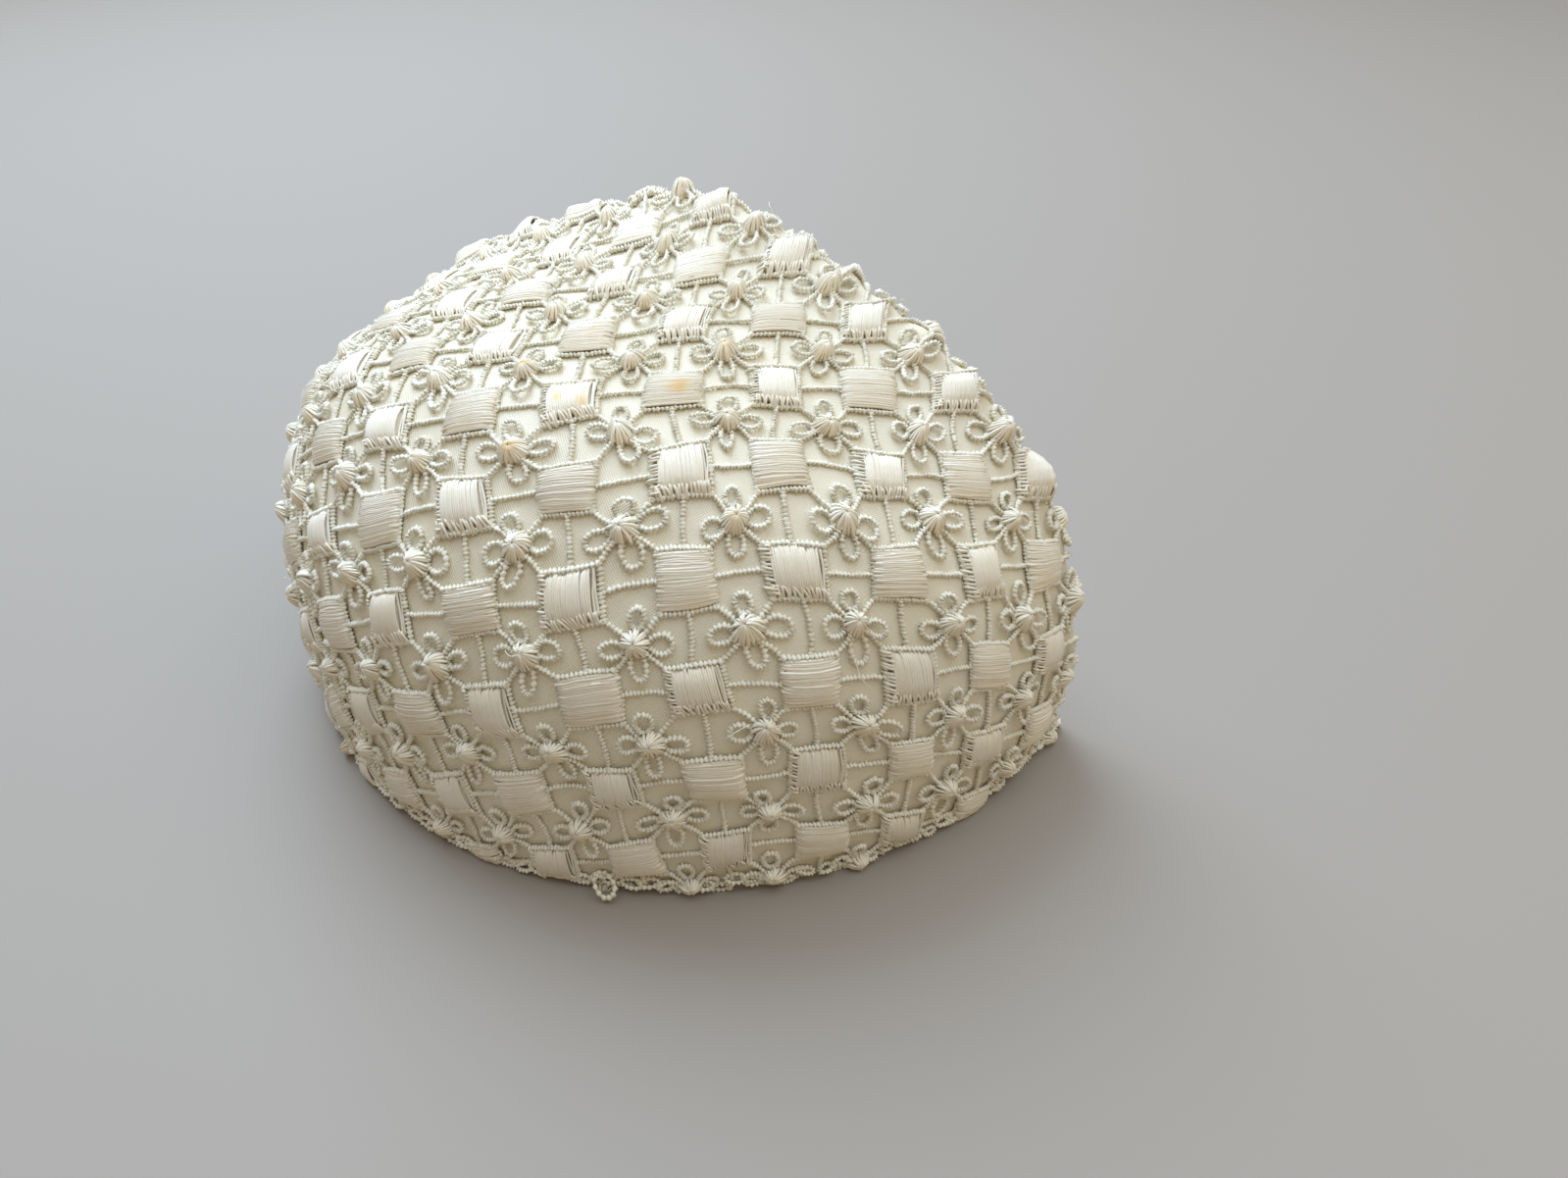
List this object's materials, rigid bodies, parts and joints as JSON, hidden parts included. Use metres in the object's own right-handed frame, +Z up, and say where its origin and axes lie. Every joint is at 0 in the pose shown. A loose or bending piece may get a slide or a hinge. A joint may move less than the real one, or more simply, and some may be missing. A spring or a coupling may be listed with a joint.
{
  "type": "lace bonnet",
  "caption": "Small stiff hood-shaped bonnet: an ivory satin cap open at the face and neck, covered all over in openwork lace of stitched blocks, bars and four-petalled flowers.",
  "frame": {"origin": "on the ground under the middle of the bonnet's box, which stands on its neck rim", "axes": "+Z up, +Y from the back of the crown towards the face opening, +X to the wearer's right seen from behind"},
  "size_m": [0.1807, 0.1002, 0.0944],
  "materials": {
    "satin": "soft sheen",
    "lace": "silky thread"
  },
  "bodies": {
    "root": {"satin_cap": "satin", "lace_cover": "lace"}
  },
  "joints": []
}
